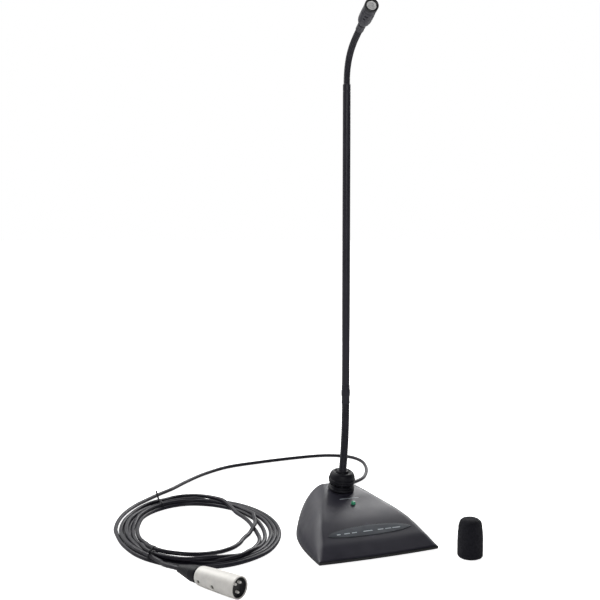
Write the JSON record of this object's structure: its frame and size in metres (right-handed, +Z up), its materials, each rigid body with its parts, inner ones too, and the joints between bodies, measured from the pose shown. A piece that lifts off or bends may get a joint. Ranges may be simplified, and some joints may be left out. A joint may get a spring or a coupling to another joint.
{
  "type": "gooseneck podium microphone",
  "caption": "Desk-stand gooseneck microphone: wedge base with mute key and status light, bendable neck, foam windscreen and coiled lead with a three-pin plug.",
  "frame": {"origin": "on the desk, under the middle of the base, on the rubber pad's lower face", "axes": "+Z up, the base's front edge faces -Y, +X to the right seen from the front"},
  "size_m": [0.3503, 0.4181, 0.4936],
  "materials": {
    "housing": "satin black paint",
    "plate": "satin black",
    "rubber": "matte",
    "zinc": "zinc plated",
    "brass": "turned",
    "board": "solder resist",
    "dark_plastic": "moulded",
    "white_plastic": "moulded",
    "key": "satin membrane",
    "lens": "clear green",
    "neck": "satin black",
    "grille": "woven mesh",
    "foam": "open-cell foam",
    "cord": "smooth jacket",
    "nickel": "satin nickel"
  },
  "bodies": {
    "base": {"housing_shell": "housing", "base_plate": "plate", "rubber_foot_pad": "rubber", "cable_gland": "rubber", "shock_mount_flange": "rubber", "shock_mount_boot": "rubber", "cable_tie_1": "rubber", "cable_tie_2": "rubber", "plug_boot": "rubber", "plate_screw_1": "zinc", "plate_screw_2": "zinc", "plate_screw_3": "zinc", "plate_screw_4": "zinc", "board_screw_1": "zinc", "board_screw_2": "zinc", "mount_washer": "zinc", "plug_screw_1": "zinc", "plug_screw_2": "zinc", "board_spacer_1": "brass", "board_spacer_2": "brass", "mount_nut": "brass", "circuit_board": "board", "tactile_switch": "dark_plastic", "dip_switch_block": "dark_plastic", "cable_clamp": "dark_plastic", "plug_insert": "dark_plastic", "status_lamp": "white_plastic", "lead_socket": "white_plastic", "indicator_lens": "lens", "cable_lead": "cord", "cable_coil": "cord", "plug_lead": "cord", "inner_lead": "cord", "plug_shell": "nickel", "plug_pin_1": "nickel", "plug_pin_2": "nickel", "plug_pin_3": "nickel", "gooseneck_socket": "nickel"},
    "stem": {"coupler": "neck", "rigid_tube": "neck"},
    "head": {"head_ferrule": "neck", "capsule_housing": "housing", "capsule_element": "brass", "capsule_grille": "grille", "capsule_ring": "plate"},
    "mute_key": {"mute_key": "key"},
    "switch_plunger": {"switch_plunger": "white_plastic"},
    "dip_lever_1": {"dip_lever_1": "white_plastic"},
    "dip_lever_2": {"dip_lever_2": "white_plastic"},
    "windscreen": {"windscreen": "foam"},
    "lower_link_1": {"lower_flex_1": "neck"},
    "upper_link_1": {"upper_flex_1": "neck"},
    "lower_link_2": {"lower_flex_2": "neck"},
    "upper_link_2": {"upper_flex_2": "neck"},
    "lower_link_3": {"lower_flex_3": "neck"},
    "upper_link_3": {"upper_flex_3": "neck"},
    "lower_link_4": {"lower_flex_4": "neck"},
    "upper_link_4": {"upper_flex_4": "neck"},
    "lower_link_5": {"lower_flex_5": "neck"},
    "upper_link_5": {"upper_flex_5": "neck"}
  },
  "joints": [
    {"name": "lower_bend_1", "type": "hinge", "parent": "base", "child": "lower_link_1", "pos_m": [0, 0.01889, 0.06277], "axis": [1, 0, 0], "range_deg": [-12, 12]},
    {"name": "lower_side_1", "type": "hinge", "parent": "lower_link_1", "child": "lower_link_2", "pos_m": [0, 0.01658, 0.07579], "axis": [0, 0.9885, 0.1512], "range_deg": [-12, 12]},
    {"name": "lower_bend_2", "type": "hinge", "parent": "lower_link_2", "child": "lower_link_3", "pos_m": [0, 0.01485, 0.0889], "axis": [1, 0, 0], "range_deg": [-12, 12]},
    {"name": "lower_side_2", "type": "hinge", "parent": "lower_link_3", "child": "lower_link_4", "pos_m": [0, 0.01361, 0.10207], "axis": [0, 0.9971, 0.0766], "range_deg": [-12, 12]},
    {"name": "lower_bend_3", "type": "hinge", "parent": "lower_link_4", "child": "lower_link_5", "pos_m": [0, 0.01282, 0.11528], "axis": [1, 0, 0], "range_deg": [-12, 12]},
    {"name": "lower_side_3", "type": "hinge", "parent": "lower_link_5", "child": "stem", "pos_m": [0, 0.0125, 0.1285], "axis": [0, 1, 0.0047], "range_deg": [-12, 12]},
    {"name": "upper_bend_1", "type": "hinge", "parent": "stem", "child": "upper_link_1", "pos_m": [-0.00001, 0.01247, 0.4395], "axis": [0.9763, -0.2164, 0], "range_deg": [-24, 9]},
    {"name": "upper_side_1", "type": "hinge", "parent": "upper_link_1", "child": "upper_link_2", "pos_m": [-0.00078, 0.00897, 0.45296], "axis": [0.1886, 0.8505, 0.4909], "range_deg": [-12, 12]},
    {"name": "upper_bend_2", "type": "hinge", "parent": "upper_link_2", "child": "upper_link_3", "pos_m": [-0.00286, -0.00038, 0.46308], "axis": [0.9763, -0.2164, 0], "range_deg": [-24, 9]},
    {"name": "upper_side_2", "type": "hinge", "parent": "upper_link_3", "child": "upper_link_4", "pos_m": [-0.00556, -0.01258, 0.46946], "axis": [0.0783, 0.3533, 0.9322], "range_deg": [-12, 12]},
    {"name": "upper_bend_3", "type": "hinge", "parent": "upper_link_4", "child": "upper_link_5", "pos_m": [-0.00846, -0.02565, 0.47376], "axis": [0.9763, -0.2164, 0], "range_deg": [-24, 9]},
    {"name": "upper_side_3", "type": "hinge", "parent": "upper_link_5", "child": "head", "pos_m": [-0.01141, -0.03899, 0.47708], "axis": [0.0471, 0.2126, 0.976], "range_deg": [-12, 12]},
    {"name": "mute_key_press", "type": "slide", "parent": "base", "child": "mute_key", "axis": [0, 0.4848, -0.8746], "range_m": [0, 0.0006], "stiffness_N_per_m": 1500, "springref_m": -0.0004},
    {"name": "switch_plunger_press", "type": "slide", "parent": "base", "child": "switch_plunger", "axis": [0, 0, -1], "range_m": [0, 0.00055]},
    {"name": "dip_lever_1_slide", "type": "slide", "parent": "base", "child": "dip_lever_1", "axis": [0, 1, 0], "range_m": [0, 0.0018]},
    {"name": "dip_lever_2_slide", "type": "slide", "parent": "base", "child": "dip_lever_2", "axis": [0, 1, 0], "range_m": [0, 0.0018]},
    {"name": "windscreen_lift", "type": "slide", "parent": "base", "child": "windscreen", "axis": [0, 0, 1], "range_m": [0, 0.06]}
  ],
  "couplings": [
    {"joint": "lower_bend_2", "follows": "lower_bend_1", "ratio": 1},
    {"joint": "lower_side_2", "follows": "lower_side_1", "ratio": 1},
    {"joint": "lower_bend_3", "follows": "lower_bend_1", "ratio": 1},
    {"joint": "lower_side_3", "follows": "lower_side_1", "ratio": 1},
    {"joint": "upper_bend_2", "follows": "upper_bend_1", "ratio": 1},
    {"joint": "upper_side_2", "follows": "upper_side_1", "ratio": 1},
    {"joint": "upper_bend_3", "follows": "upper_bend_1", "ratio": 1},
    {"joint": "upper_side_3", "follows": "upper_side_1", "ratio": 1},
    {"joint": "switch_plunger_press", "follows": "mute_key_press", "ratio": 0.87}
  ]
}
